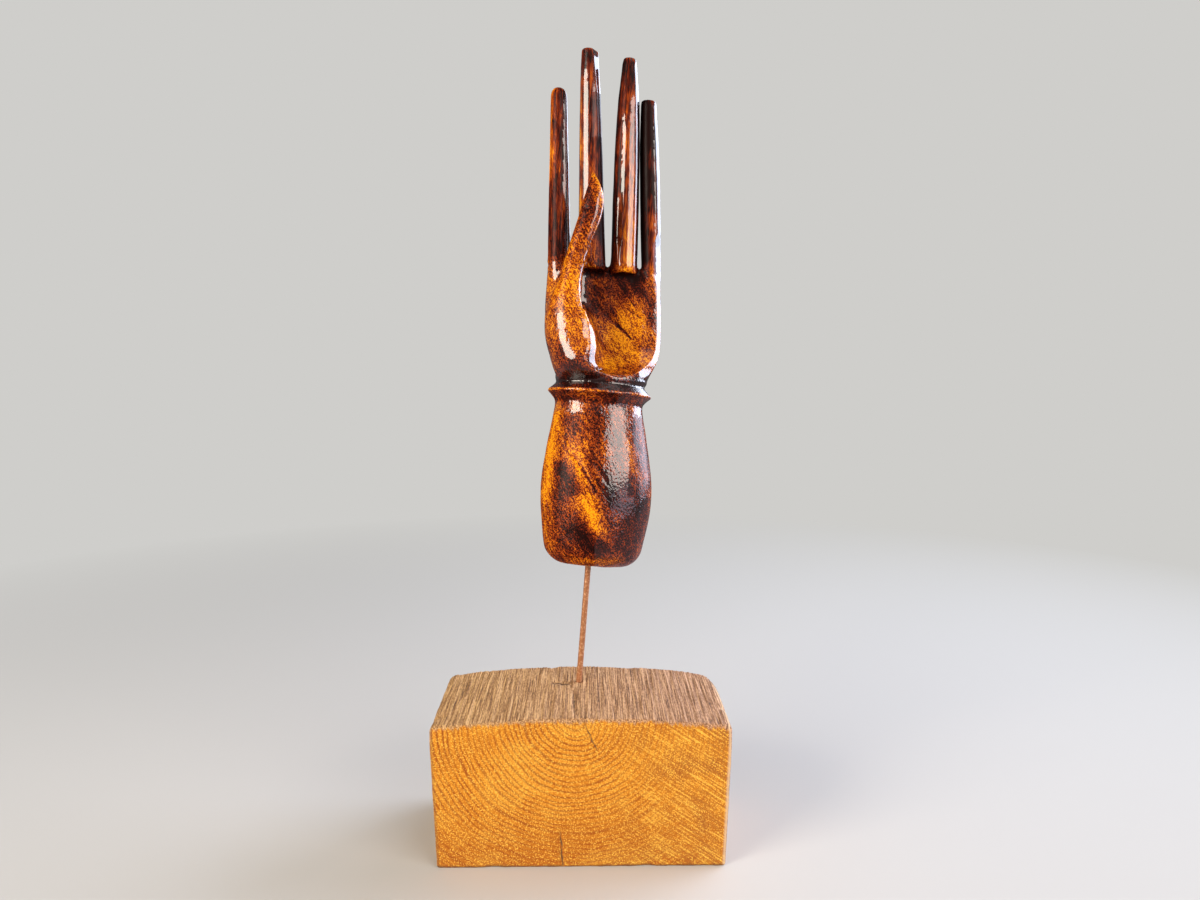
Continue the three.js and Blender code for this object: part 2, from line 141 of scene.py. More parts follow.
# Lines that the fingers and the thumb follow, from root to tip
FINGERS = {
    "index": ((-26.6, -6.5, 149), (-33.6, -11.1, 237)),
    "middle": ((-10.0, -3.5, 149), (-19.9, -9.3, 259)),
    "ring": ((6.4, 0.0, 149), (0.6, -5.7, 258)),
    "little": ((20.7, 3.0, 149), (11.9, -1.7, 238)),
    "thumb": ((-20.0, -19.0, 142), (-12.6, -23.0, 190)),
}

# Flat knife cuts: where, degrees to the right of the front, depth, low and high end, easing
FACETS = (
    ("index", 32, 0.28, 156, 241, 8),
    ("middle", 52, 0.55, 230, 300, 28),
    ("middle", -26, 0.20, 160, 250, 8),
    ("ring", -24, 0.30, 158, 226, 8),
    ("thumb", 40, 0.50, 146, 190, 8),
    ("palm", 52, 1.50, 93, 172, 8),
)

# Height and place across of the crest between the ball of the thumb and the hollow
CREST = ((100, -5.0), (105, -7.4), (110, -9.2), (121, -11.6), (134, -13.2))

# Where the varnish isn't glossy: left and right limit, low and high limit, finish.
# Across is measured from the forearm's middle, the crest of the hollow or the finger's line.
WORN = (
    ("forearm", -40, 3, -9, 76, "dull"),
    ("forearm", 16.5, 40, 36, 76, "satin"),
    ("forearm", -40, 8, 81, 86.5, "dull"),
    ("hollow", 4.7, 40, 96, 118, "dull"),
    ("hollow", 2.4, 40, 118, 126, "dull"),
    ("hollow", 1.5, 40, 126, 135, "dull"),
    ("hollow", 0.3, 40, 135, 156, "dull"),
    ("index", -9, 2.6, 150, 270, "dull"),
    ("middle", 0.4, 9, 150, 236, "satin"),
    ("middle", 0.4, 9, 150, 214, "dull"),
    ("middle", -9, 0.4, 248, 270, "satin"),
    ("ring", -9, -2.4, 186, 270, "dull"),
    ("ring", -9, -4.4, 150, 186, "dull"),
    ("ring", -9, 0.5, 228, 270, "dull"),
    ("little", -9, 2.5, 150, 270, "dull"),
    ("thumb", -9, 4.5, 123, 270, "satin"),
    ("thumb", -9, 4.5, 131, 270, "dull"),
)

# Weight and roughness of the varnish in each finish
FINISHES = {"gloss": (1.0, 0.08), "satin": (0.3, 0.22), "dull": (0.08, 0.32)}

# How far below their round ends the fingertips are cut flat, and by what share they taper
TIPS = {"middle": (1.5, 0.08), "ring": (1.1, 0.18), "little": (0.7, 0.08)}

# Heights on the hand where a share eases in over the first two and out over the last two
RIM = (82.5, 85.5, 88.0, 91.0)
BELLY = (92.0, 96.5, 98.0, 109.0)
CORNER = (92, 97, 99, 109)
PALM_EDGE = (93.0, 99.0, 152.0, 166.0)
FLANGE = (79, 83, 93, 100)
NECK = (86.9, 88, 92, 97)

# Heights of the finger roots, of the ragged ledge below them and of the rim's crest
FINGER_ROOTS = 150
ROOT_LEDGE = 148.6
RIM_CREST = 86.9

# How much thicker the ring finger is than the little finger
RING_EXCESS = 1.45

# Strokes beside the palm where sharp edges are eased
EASED = (((-27, -12, 146), (-26, -13, 138)), ((21, -1, 150), (22, 0, 138)))

# How dark the stain starts out, and what each part of the hand adds; the right-facing side's share is
# painted shade, and the neck's share is partly stain and partly painted shade above the flange
TONES = {"start": 0.44, "fingers": 0.30, "back": 0.10, "right": 0.16,
         "flange": 0.26, "forearm": 0.11, "neck": 0.24}

# Sizes of the broad and the fine tool marks
BROAD_MARKS = (8.0, 8.0, 15.0)
FINE_MARKS = (3.4, 3.4, 6.0)

# Size and reach of the noise that makes cracks wander, and how far their sides spread
HAND_WANDER = (2.5, 0.5)
BLOCK_WANDER = (4.0, 0.7)
CRACK_SPREAD = 1.6

# Sizes of the patterns in the wood: across, back and up
PATTERNS = {
    "figure": (1.5, 1.5, 7.0),
    "finger_figure": (1.3, 1.3, 26.0),
    "blotch": (8.0, 8.0, 15.0),
    "speck": (0.6, 0.6, 0.85),
    "finger_speck": (0.6, 0.6, 9.0),
    "line": (0.9, 0.9, 24.0),
    "pebble": (1.1, 1.1, 1.5),
    "fibre": (0.42, 24.0, 0.42),
    "broken_fibre": (0.6, 2.6, 0.6),
    "saw_mark": (0.8, 0.8, 0.8),
    "ring_wander": (24.0, 160.0, 24.0),
    "ring_patch": (16.0, 60.0, 16.0),
    "cloud": (20.0, 60.0, 14.0),
    "end_speck": (0.6, 8.0, 0.6),
    "ray": (16.0, 30.0, 0.9),
    "soil": (12.0, 40.0, 14.0),
}

# How far the hand's grain and the block's rays lean in the front plane
HAND_SLANT = math.radians(-34)
RAY_SLANT = math.radians(34)

# Places on the block are in millimetres in the part's frame
PITH = (-3.0, 0.0, 72.5)
RADIAL_CHECK = ((0.5, -34.0, 71.0), (3.6, -34.0, 65.5), (5.0, -34.0, 61.5), (8.3, -34.0, 56.1))
FOOT_CHECK = ((-9.6, -34.0, 19.6), (-9.4, -34.0, 12.0), (-9.0, -34.0, 7.0), (-8.6, -34.0, -6.0))
TOP_CHECK = ((-4.2, 3.0, 72.5), (-3.4, -16.0, 72.5), (-2.6, -30.0, 72.5))
SCAR = ((-15.0, 10.5, 72.5), (-10.5, 9.6, 72.5), (-4.5, 9.8, 72.5))
CHECKS = ((RADIAL_CHECK, 0.42), (FOOT_CHECK, 0.45), (TOP_CHECK, 0.5), (SCAR, 1.0))

# Chips out of the block's edges: place, radius and depth
CHIPS = (
    ((-67.5, -23, 68), 2.6, 1.3),
    ((67.5, -13, 68), 2.2, 1.1),
    ((-16, 34, 72), 1.6, 1.2),
    ((24, 34, 71.5), 3.0, 0.4),
    ((-40, -34, 0), 4.0, 0.5),
    ((30, -34, 0), 5.0, 0.5),
)

# Beyond this share of its half size a point of the gridded block lies on a face
ON_FACE = 0.9999


def linear(code):
    """Linear colour of an sRGB hex code."""
    values = [int(code[i:i + 2], 16) / 255 for i in (0, 2, 4)]
    return tuple(v / 12.92 if v <= 0.04045 else ((v + 0.055) / 1.055) ** 2.4 for v in values)


def rgba(colour):
    """Colour with full opacity, as sockets take it."""
    return (colour[0], colour[1], colour[2], 1.0)


def colour_property(name, description, code):
    """Colour shown in the panel, given as an sRGB hex code."""
    return FloatVectorProperty(
        name=name, description=description, default=linear(code), subtype="COLOR", min=0, max=1)


def length_property(name, description, millimetres):
    """Length shown in the panel, given in millimetres."""
    return FloatProperty(
        name=name, description=description, default=millimetres * MM, unit="LENGTH", precision=5)


class HandLook(bpy.types.PropertyGroup):
    """Sizes and colours of the varnished hand."""

    cell: length_property("Cell", "Cell of the remeshed skin", 0.77)
    parting: FloatProperty(
        name="Parting", description="Slope that keeps the little finger clear of the remesh",
        default=0.03)
    crest_angle: FloatProperty(
        name="Crest angle", description="Outer edges sharper than this stay crisp",
        default=math.radians(34), unit="ROTATION")
    skin: length_property("Skin", "Growth that makes up for the smoothing", 0.14)
    sharpness: FloatProperty(
        name="Sharpness", description="How far worn crests are brought back", default=1.3)
    tool_depth: length_property("Tool marks", "Depth of the broad tool marks", 0.22)
    crease_depth: length_property("Crease", "Depth of the creases and cracks", 0.6)
    ragged: length_property("Ragged roots", "Rough cuts below the finger roots", 0.9)
    belly: length_property("Belly", "Fullness low on the ball of the thumb", 3.0)
    corner: length_property("Corner", "Widening of the hollow's lower left corner", 3.0)
    lip: length_property("Lip", "Width of the sloping strip beside the hollow", 3.8)
    lip_depth: length_property("Lip depth", "How far that strip slopes back", 4.4)
    rim_wave: length_property("Rim wave", "Rise and fall of the bracelet's rim", 0.8)
    bore_gap: length_property("Bore gap", "Gap round the rod in its sockets", 0.3)
    # The stain's colours also carry painted light and shade: the pale end brightens left sides as if
    # lit from the left, and the dark end is painted shade in hollows, under the finger roots and on
    # shaded finger sides
    amber: colour_property("Amber", "Palest wood, rubbed through the stain", "F4A012")
    honey: colour_property("Honey", "Pale stained wood", "D87A0A")
    russet: colour_property("Russet", "Middle of the stain", "A2440C")
    brown: colour_property("Brown", "Dark red-brown stain", "5C1A08")
    black: colour_property("Black", "Stain pooled in the deepest places", "1A0402")


class BlockLook(bpy.types.PropertyGroup):
    """Sizes and colours of the weathered block."""

    cells: IntVectorProperty(
        name="Cells", description="Cells across, along and up the block", default=(280, 60, 86))
    foot_width: length_property("Foot width", "Width at the underside", 135)
    shoulder: length_property("Shoulder", "Height at the sides", 68.4)
    arris: length_property("Arris", "Rounding of the sawn edges", 1.3)
    top_corner: length_property("Top corner", "Rounding of the two long top edges", 3.4)
    worn_corner: length_property("Worn corner", "Extra rounding at the back right corner", 5)
    ridge_depth: length_property("Ridges", "Depth of the weathered grain on top", 0.5)
    ring_depth: length_property("Ring relief", "Depth of the growth rings on the sawn ends", 0.12)
    ring_spacing: length_property("Ring spacing", "Distance between growth rings", 2.4)
    check_depth: length_property("Check depth", "Depth of the drying cracks", 0.8)
    early_wood: colour_property("Early wood", "Pale band of a growth ring", "D2861A")
    late_wood: colour_property("Late wood", "Dark band of a growth ring", "9A4C0A")
    resin: colour_property("Resin", "Bright specks in the sawn wood", "FACC54")
    stain: colour_property("Stain", "Brown weather stain on the sawn wood", "9C5A1C")
    weathered: colour_property("Weathered", "Grey-brown of the old top", "A6835F")
    fibre: colour_property("Fibre", "Pale raised fibres", "DCBC94")
    furrow: colour_property("Furrow", "Dirt in the furrows and cracks", "5C4330")
    # Painted light: the top is tinted warm and pale on the left and cooler on the right, as the lamps
    # would light it
    painted_warm_light: colour_property("Warm tint", "Cast of the top on the left", "FFF0D2")
    painted_cool_light: colour_property("Cool tint", "Cast of the top on the right", "F6E2DC")


class RodLook(bpy.types.PropertyGroup):
    """Sizes and colours of the rusty rod."""

    cells: IntVectorProperty(
        name="Cells", description="Cells round and along the rod", size=2, default=(32, 180))
    pit_depth: length_property("Pits", "Depth of the rust pits", 0.06)
    rust: colour_property("Rust", "Copper-brown rust", "A0643A")
    dark_rust: colour_property("Dark rust", "Spots of old rust", "966540")
    bright: colour_property("Bright", "Metal rubbed bright", "D2A880")


class StudioLook(bpy.types.PropertyGroup):
    """Camera, lights and floor."""

    eye: FloatVectorProperty(
        name="Eye", description="Place of the camera", default=(0.00246, -0.42909, 0.2433),
        subtype="TRANSLATION")
    pitch: FloatProperty(
        name="Pitch", description="Camera looks down by this", default=math.radians(6.77),
        unit="ROTATION")
    turn: FloatProperty(
        name="Turn", description="Camera turns to the right by this", default=math.radians(0.9),
        unit="ROTATION")
    focal: FloatProperty(
        name="Focal length", description="Lens on a sensor 36 mm wide", default=27.03, unit="CAMERA")
    target: FloatVectorProperty(
        name="Target", description="What the lamps aim at", default=(0.01, 0.02, 0.21),
        subtype="TRANSLATION")
    fill: FloatProperty(
        name="Fill", description="Strength of the light from all round", default=0.12)
    near: length_property("Near", "Where the floor starts to fade into the backdrop", 160)
    far: length_property("Far", "Where only the backdrop is left", 850)
    floor_reach: length_property("Floor reach", "Radius of the flat floor", 2400)
    floor_bend: length_property("Floor bend", "Radius of its curve up into the wall", 1000)
    floor_wall: length_property("Floor wall", "Height of the wall above the curve", 2000)
    backdrop: colour_property("Backdrop", "Pale floor and backdrop", "C8C6C2")
    distance: colour_property("Distance", "What the camera sees of the far backdrop", "CFCECB")
    mirrored: colour_property("Mirrored", "What the varnish mirrors of the floor", "9A7E7C")


def add(tree, kind, inputs=(), out=0, stops=(), **settings):
    """Adds a shader node with its settings, values, links and ramp stops, and returns one output."""
    node = tree.nodes.new("ShaderNode" + kind)
    for name, value in settings.items():
        setattr(node, name, value)
    for name, value in inputs.items() if isinstance(inputs, dict) else enumerate(inputs):
        if isinstance(value, bpy.types.NodeSocket):
            tree.links.new(value, node.inputs[name])
        else:
            node.inputs[name].default_value = rgba(value) if isinstance(value, Color) else value
    if stops:
        elements = node.color_ramp.elements
        while len(elements) < len(stops):
            elements.new(1.0)
        for element, (position, colour) in zip(elements, stops):
            element.position = position
            element.color = rgba(colour)
    return node.outputs[out] if node.outputs else None


def new_material(name):
    """Material with an empty node tree."""
    material = bpy.data.materials.new(name)
    material.use_nodes = True
    material.node_tree.nodes.clear()
    return material


def smooth_step(low, high, values):
    """Eased ramp from 0 at low to 1 at high."""
    t = np.clip((values - low) / (high - low), 0.0, 1.0)
    return t * t * (3.0 - 2.0 * t)


def within(values, low, low_full, high_full, high):
    """Eased share that is 1 between the two inner limits and 0 beyond the outer ones."""
    return smooth_step(low, low_full, values) * smooth_step(high, high_full, values)


def norms(vectors):
    """Length of each vector."""
    return np.linalg.norm(vectors, axis=1)


def noise_at(points):
    """Smooth noise between -1 and 1 at each point."""
    return np.array([noise.noise(p) for p in np.asarray(points, float).tolist()])


def off_line(points, start, end):
    """How far each point is from a straight stroke, as a vector."""
    a = np.array(start, float)
    line = np.array(end, float) - a
    t = np.clip((points - a) @ line / (line @ line), 0.0, 1.0)
    return points - a - t[:, None] * line


def nearness(points, start, end, radius):
    """How near each point is to a straight stroke: 1 on it, fading to 0 over the radius."""
    return np.exp(-(norms(off_line(points, start, end)) / radius) ** 2)


def line_share(points, path, half_width):
    """Distance from a path over its half width there, which thins out at both ends."""
    path = np.array(path, float)
    lengths = norms(np.diff(path, axis=0))
    starts = np.concatenate([[0.0], np.cumsum(lengths)])
    found = np.full(len(points), 20.0)
    for i, length in enumerate(lengths):
        line = (path[i + 1] - path[i]) / length
        t = np.clip((points - path[i]) @ line, 0.0, length)
        gap = norms(points - path[i] - t[:, None] * line)
        along = (starts[i] + t) / starts[-1]
        width = half_width * np.sqrt(np.clip(4.0 * along * (1.0 - along), 0.03, 1.0))
        found = np.minimum(found, gap / width)
    return found


def skyline(points, members, reach):
    """Furthest reach of the members at the height of each point, evened out along the height."""
    step = 2.0
    level = np.round(points[:, 2] / step).astype(int)
    peaks = np.full(level.max() + 1, -np.inf)
    np.maximum.at(peaks, level[members], reach[members])
    heights = np.flatnonzero(np.isfinite(peaks))
    evened = np.convolve(np.pad(peaks[heights], 2, mode="edge"), np.full(5, 0.2), mode="valid")
    return np.interp(points[:, 2] / step, heights, evened)


def planed(points, members, turn, depth, low, high, ease):
    """Moves that cut a flat strip along the members, on the side that faces a turn in degrees."""
    facing = np.array([math.sin(math.radians(turn)), -math.cos(math.radians(turn)), 0.0])
    reach = points @ facing
    members = members & (points[:, 2] > low) & (points[:, 2] < high)
    peak = skyline(points, members, reach)
    ends = within(points[:, 2], low, low + ease, high - ease, high)
    cut = np.clip(reach - peak + depth * ends, 0.0, None) * members
    return -cut[:, None] * facing


def shaken(points, size, reach):
    """Points moved about by smooth noise of a given size, for lines that wander."""
    shifts = [noise_at(points / size + offset) for offset in (0.0, 17.3, 41.9)]
    return points + reach * np.stack(shifts, axis=1)


def crack_share(points, wander, cracks):
    """Distance from the nearest of some wandering cracks over its half width."""
    points = shaken(points, *wander)
    return np.min([line_share(points, path, width) for path, width in cracks], axis=0)


def read(items, name, width, kind):
    """Values of one attribute of a mesh's items, with a row for each item."""
    flat = np.empty(len(items) * width, kind)
    items.foreach_get(name, flat)
    return flat.reshape(-1, width)


def vertex_array(mesh):
    """Places of a mesh's vertices."""
    return read(mesh.vertices, "co", 3, np.float32).astype(float)


def normal_array(mesh):
    """Directions that a mesh's vertices face."""
    return read(mesh.vertex_normals, "vector", 3, np.float32).astype(float)


def edge_array(mesh):
    """Vertex pairs of a mesh's edges."""
    return read(mesh.edges, "vertices", 2, np.int32)


def place_vertices(mesh, places):
    """Moves a mesh's vertices."""
    mesh.vertices.foreach_set("co", places.astype(np.float32).ravel())
    mesh.update()


def averaged(values, edges, rounds):
    """Values at the vertices, evened out over their neighbours."""
    count = np.bincount(edges.ravel(), minlength=len(values))[:, None]
    result = values.copy()
    for _ in range(rounds):
        total = np.zeros_like(result)
        for k in range(result.shape[1]):
            total[:, k] += np.bincount(edges[:, 0], result[edges[:, 1], k], len(result))
            total[:, k] += np.bincount(edges[:, 1], result[edges[:, 0], k], len(result))
        result = 0.5 * result + 0.5 * total / count
    return result


def store(mesh, name, values):
    """Keeps one number, or one vector, for each vertex under a name that materials read."""
    values = np.asarray(values, np.float32)
    if values.ndim == 1:
        mesh.attributes.new(name, "FLOAT", "POINT").data.foreach_set("value", values)
    else:
        data = mesh.attributes.new(name, "FLOAT_VECTOR", "POINT").data
        data.foreach_set("vector", values.ravel())


def built_mesh(bm, name):
    """New mesh of what was built."""
    mesh = bpy.data.meshes.new(name)
    bm.to_mesh(mesh)
    bm.free()
    return mesh


def new_object(name, data):
    """Object at the origin that holds a mesh, a lamp or a camera."""
    obj = bpy.data.objects.new(name, data)
    bpy.context.scene.collection.objects.link(obj)
    return obj


def settle(obj):
    """Puts the shape that the modifiers make into the mesh, and clears them."""
    depsgraph = bpy.context.evaluated_depsgraph_get()
    mesh = bpy.data.meshes.new_from_object(obj.evaluated_get(depsgraph))
    obj.modifiers.clear()
    old = obj.data
    obj.data = mesh
    bpy.data.meshes.remove(old)


def rod_frame():
    """Where the rod leaves the block, and its side, back and up directions."""
    hinge = next(joint for joint in frame["joints"] if joint["type"] == "hinge")
    up = Vector(hinge["axis"]).normalized()
    side = (Vector((1, 0, 0)) - up * up.x).normalized()
    return np.array(hinge["pos_m"]), np.array([side, up.cross(side), up])


def along_rod(node):
    """A CAD node's vertices in the rod's frame, in metres."""
    origin, axes = rod_frame()
    return (vertex_array(frame["nodes"][node].data) - origin) @ axes.T


def rod_radius():
    """Radius of the CAD rod."""
    places = along_rod("mounting_rod")
    return float(norms(places[:, :2]).max())


def drill(obj, radius, low, high):
    """Cuts a round bore along the rod's line, between two heights in the rod's frame."""
    origin, axes = rod_frame()
    bm = bmesh.new()
    bmesh.ops.create_cone(
        bm, cap_ends=True, segments=48, radius1=radius, radius2=radius, depth=high - low)
    for vert in bm.verts:
        local = np.array(vert.co) + (0, 0, (low + high) / 2)
        vert.co = origin + local @ axes
    mesh = built_mesh(bm, "bore_tool")
    tool = new_object("bore_tool", mesh)
    cut = obj.modifiers.new("bore", "BOOLEAN")
    cut.object = tool
    cut.operation = "DIFFERENCE"
    cut.solver = "EXACT"
    settle(obj)
    bpy.data.objects.remove(tool)
    bpy.data.meshes.remove(mesh)


def shade_smooth(mesh):
    """Smooth shading over the whole mesh."""
    mesh.polygons.foreach_set("use_smooth", np.ones(len(mesh.polygons), bool))
    mesh.update()


def grain_noise(tree, place, pattern, slant=0.0, detail=3.0, out=0):
    """Noise whose features have the real size of a pattern, slanted in the front plane."""
    where = add(tree, "Mapping", {
        "Vector": place, "Rotation": (0, slant, 0), "Scale": PATTERNS[pattern]},
        vector_type="TEXTURE")
    return add(tree, "TexNoise", {"Vector": where, "Scale": 1.0, "Detail": detail}, out=out)


def varnished_wood(look, finish, weight, roughness):
    """Stained hardwood, speckled amber and red-brown, under glossy, satin or worn dull varnish."""
    material = new_material(f"stained_hardwood_{finish}_varnish")
    tree = material.node_tree
    place = add(tree, "Attribute", out="Vector", attribute_name="carving_mm")
    tone, straight, crack, bumpy = [
        add(tree, "Attribute", out="Fac", attribute_name=name)
        for name in ("tone", "straight", "crack", "pebble")]
    figure = add(tree, "Mix", {
        0: straight,
        2: grain_noise(tree, place, "figure", HAND_SLANT),
        3: grain_noise(tree, place, "finger_figure"),
    })
    speck = add(tree, "Mix", {
        0: straight,
        2: grain_noise(tree, place, "speck", HAND_SLANT, 1.5),
        3: grain_noise(tree, place, "finger_speck", detail=2.0),
    })
    speck = add(tree, "MapRange", (speck, 0.44, 0.57, -0.16, 0.27))
    calm = add(tree, "MapRange", (straight, 0.0, 1.0, 1.0, 0.55))
    blotch = grain_noise(tree, place, "blotch", HAND_SLANT)
    line = grain_noise(tree, place, "line", HAND_SLANT, 1.0)
    level = tone
    for part in (
            add(tree, "MapRange", (figure, 0.36, 0.64, -0.14, 0.14)),
            add(tree, "MapRange", (blotch, 0.36, 0.64, -0.15, 0.15)),
            add(tree, "Math", (speck, calm), operation="MULTIPLY"),
            add(tree, "MapRange", (line, 0.60, 0.68, 0.0, 0.14)),
            add(tree, "MapRange", (crack, 0.6, 1.2, 0.5, 0.0))):
        level = add(tree, "Math", (level, part), operation="ADD")
    colour = add(tree, "ValToRGB", (level,), stops=(
        (0.08, look.amber), (0.27, look.honey), (0.48, look.russet),
        (0.72, look.brown), (1.0, look.black)))
    pebble = grain_noise(tree, place, "pebble", HAND_SLANT, 1.5)
    pebble = add(tree, "Math", (pebble, bumpy), operation="MULTIPLY")
    grain = add(tree, "Bump", {"Strength": 1.0, "Distance": 0.2 * MM, "Height": pebble})
    shader = add(tree, "BsdfPrincipled", {
        "Base Color": colour, "Roughness": 0.5, "Specular IOR Level": 0.05, "Normal": grain,
        "Coat Weight": weight, "Coat Roughness": roughness, "Coat IOR": 1.75, "Coat Normal": grain,
    })
    add(tree, "OutputMaterial", {"Surface": shader})
    return material


class CARVED_OT_hand(bpy.types.Operator):
    """Carves the hand's skin from the CAD solid and varnishes it"""

    bl_idname = "carved.hand"
    bl_label = "Varnished hand"

    def execute(self, context):
        look = context.scene.carved_hand
        obj = new_object("varnished_hand", frame["nodes"]["carved_hand"].data.copy())
        self.soften(obj, look)
        self.carve(obj, look)
        foot = along_rod("carved_hand")[:, 2].min()
        socket = along_rod("mounting_rod")[:, 2].max() + look.bore_gap
        drill(obj, rod_radius() + look.bore_gap, foot - 5 * MM, socket)
        obj.data.materials.clear()
        for finish, (weight, roughness) in FINISHES.items():
            obj.data.materials.append(varnished_wood(look, finish, weight, roughness))
        self.paint(obj.data)
        shade_smooth(obj.data)
        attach(obj, "hand")
        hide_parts("carved_hand")
        return {"FINISHED"}

    def soften(self, obj, look):
        """Rounds the CAD facets, keeping the carved crests crisp, and remeshes evenly."""
        bm = bmesh.new()
        bm.from_mesh(obj.data)
        bmesh.ops.remove_doubles(bm, verts=bm.verts, dist=0.02 * MM)
        bmesh.ops.dissolve_degenerate(bm, edges=bm.edges, dist=0.02 * MM)
        crease = bm.edges.layers.float.new("crease_edge")
        for edge in bm.edges:
            if edge.is_convex and edge.calc_face_angle(0.0) > look.crest_angle:
                edge[crease] = 1.0
        bm.to_mesh(obj.data)
        bm.free()
        self.lean_little_finger(obj.data, look.parting)
        rounding = obj.modifiers.new("rounding", "SUBSURF")
        rounding.levels = 2
        rounding.render_levels = 2
        cells = obj.modifiers.new("cells", "REMESH")
        cells.mode = "VOXEL"
        cells.voxel_size = look.cell
        even = obj.modifiers.new("even", "SMOOTH")
        even.factor = 0.5
        even.iterations = 5
        settle(obj)
        self.lean_little_finger(obj.data, -look.parting)

    def middle(self, name, heights):
        """Where a finger's line passes at each height, across and back."""
        line = np.array(FINGERS[name], float)
        return np.stack([np.interp(heights, line[:, 2], line[:, axis]) for axis in (0, 1)], axis=1)

    def lean_little_finger(self, mesh, slope):
        """Leans the little finger to the right, or back, so that the remesh can't join it on."""
        p, base, axes = self.local(mesh)
        lean = slope * np.clip(p[:, 2] - FINGER_ROOTS, 0, None)
        upright = p[:, :2] + np.outer(np.minimum(lean, 0), (1, 0))
        from_ring = norms(p[:, :2] - self.middle("ring", p[:, 2]))
        from_little = norms(upright - self.middle("little", p[:, 2]))
        p[:, 0] += lean * (from_little + RING_EXCESS < from_ring)
        place_vertices(mesh, base + p * MM @ axes)

    def local(self, mesh):
        """Vertices in the hand's own frame, in millimetres, with the frame itself."""
        origin, axes = rod_frame()
        foot = np.array([0, 0, along_rod("carved_hand")[:, 2].min()])
        places = ((vertex_array(mesh) - origin) @ axes.T - foot) / MM
        return places, origin + foot @ axes, axes

    def carve(self, obj, look):
        """Brings back the crests, cuts tool marks and cracks, and shapes the palm and the fingers."""
        mesh = obj.data
        edges = edge_array(mesh)
        p, base, axes = self.local(mesh)
        facing = normal_array(mesh) @ axes.T
        crest = np.einsum("ij,ij->i", p - averaged(p, edges, 4), facing)
        grow = look.skin / MM + look.sharpness * np.clip(crest, 0.0, 0.5)
        marks = noise_at(p / BROAD_MARKS) + 0.5 * noise_at(p / FINE_MARKS)
        fingers = smooth_step(FINGER_ROOTS, 162, p[:, 2])
        grow += (1 - 0.6 * fingers) * marks * look.tool_depth / MM
        wandering = shaken(p, *HAND_WANDER)
        for crack, half_width in CRACKS:
            share = line_share(wandering, crack, CRACK_SPREAD * half_width)
            grow -= np.exp(-share ** 2) * look.crease_depth / MM
        move = facing * grow[:, None]
        front = smooth_step(5.0, -1.0, p[:, 1])
        edge = self.palm_edge(p, front)
        move += edge[:, None] * self.eased(p, facing, edges)
        ledge = np.exp(-((p[:, 2] - ROOT_LEDGE) / 2.4) ** 2) * front * (1 - edge)
        ledge *= smooth_step(18.0, 15.0, p[:, 0])
        move += ledge[:, None] * (shaken(p, 1.9, look.ragged / MM) - p)
        move[:, 2] += self.rim(p) * look.rim_wave / MM
        move[:, 1] -= self.belly(p) * look.belly / MM
        p += move
        places = self.members(p)
        self.shape_hollow(p, look)
        for place, *cut in FACETS:
            p += planed(p, places[place], *cut)
        self.cut_tips(p, places)
        place_vertices(mesh, base + p * MM @ axes)

    def palm_edge(self, p, front):
        """Share of the easing along the palm's outer edges."""
        edge = smooth_step(17.0, 21.0, p[:, 0]) * front * within(p[:, 2], *PALM_EDGE)
        for start, end in EASED:
            edge = np.maximum(edge, nearness(p, start, end, 8.0))
        return edge

    def eased(self, p, facing, edges):
        """Moves that round off sharp edges but hardly shrink them."""
        move = averaged(p, edges, 70) - p
        out = np.einsum("ij,ij->i", move, facing)
        return move - facing * (0.7 * np.minimum(out, 0.0))[:, None]

    def rim(self, p):
        """Rise and fall of the bracelet's rim, between -1 and 1."""
        share = within(p[:, 2], *RIM) * smooth_step(20.0, 24.0, norms(p[:, :2]))
        round_rim = np.stack([p[:, 0] / 9.0, p[:, 1] / 9.0, np.full(len(p), 3.3)], axis=1)
        return share * noise_at(round_rim)

    def belly(self, p):
        """Share of the fullness low on the ball of the thumb."""
        front = np.exp(-((p[:, 0] + 15.0) / 11.0) ** 2) * smooth_step(-12.0, -18.0, p[:, 1])
        return within(p[:, 2], *BELLY) * front

    def members(self, p):
        """Which vertices belong to each finger, to the thumb and to the palm's outer side."""
        nearest, _ = self.nearest(p)
        high = p[:, 2] > FINGER_ROOTS - 0.5
        found = {name: high & (nearest == name) for name in FINGERS}
        found["palm"] = (p[:, 0] > 8) & (p[:, 2] > 90) & (~high | (nearest == "little"))
        return found

    def shape_hollow(self, p, look):
        """Slopes the strip beside the hollow and widens the hollow's lower left corner."""
        y = p[:, 1]
        z = p[:, 2]
        beyond = self.beyond_crest(p)
        on_crest = (np.abs(beyond) < 1.5) & (y < -10) & (z > 96) & (z < 136)
        behind = y + skyline(p, on_crest, -y)
        full = 0.28 * smooth_step(138, 132, z) + 0.72 * smooth_step(123, 112, z)
        lip = np.clip(behind * MM / look.lip_depth, 0, full) * (beyond > -0.5)
        lip *= smooth_step(9, 2, beyond) * smooth_step(96, 99, z) * (y < 5)
        corner = within(beyond, -10, -2, 3, 12) * within(z, *CORNER) * (y < -4)
        p[:, 0] += (lip * look.lip - corner * look.corner) / MM

    def cut_tips(self, p, places):
        """Tapers the fingertips and cuts them flat."""
        for name, (cut, taper) in TIPS.items():
            tip = p[places[name], 2].max()
            share = taper * smooth_step(tip - 24.0, tip, p[:, 2]) * places[name]
            p[:, :2] += share[:, None] * (self.middle(name, p[:, 2]) - p[:, :2])
            lifted = p[:, 2] + 1.2 * smooth_step(tip - 9.0, tip, p[:, 2])
            p[:, 2] = np.where(places[name], np.minimum(lifted, tip - cut), p[:, 2])

    def beyond_crest(self, p):
        """How far each vertex is to the right of the crest beside the hollow."""
        return p[:, 0] - np.interp(p[:, 2], *np.array(CREST, float).T)

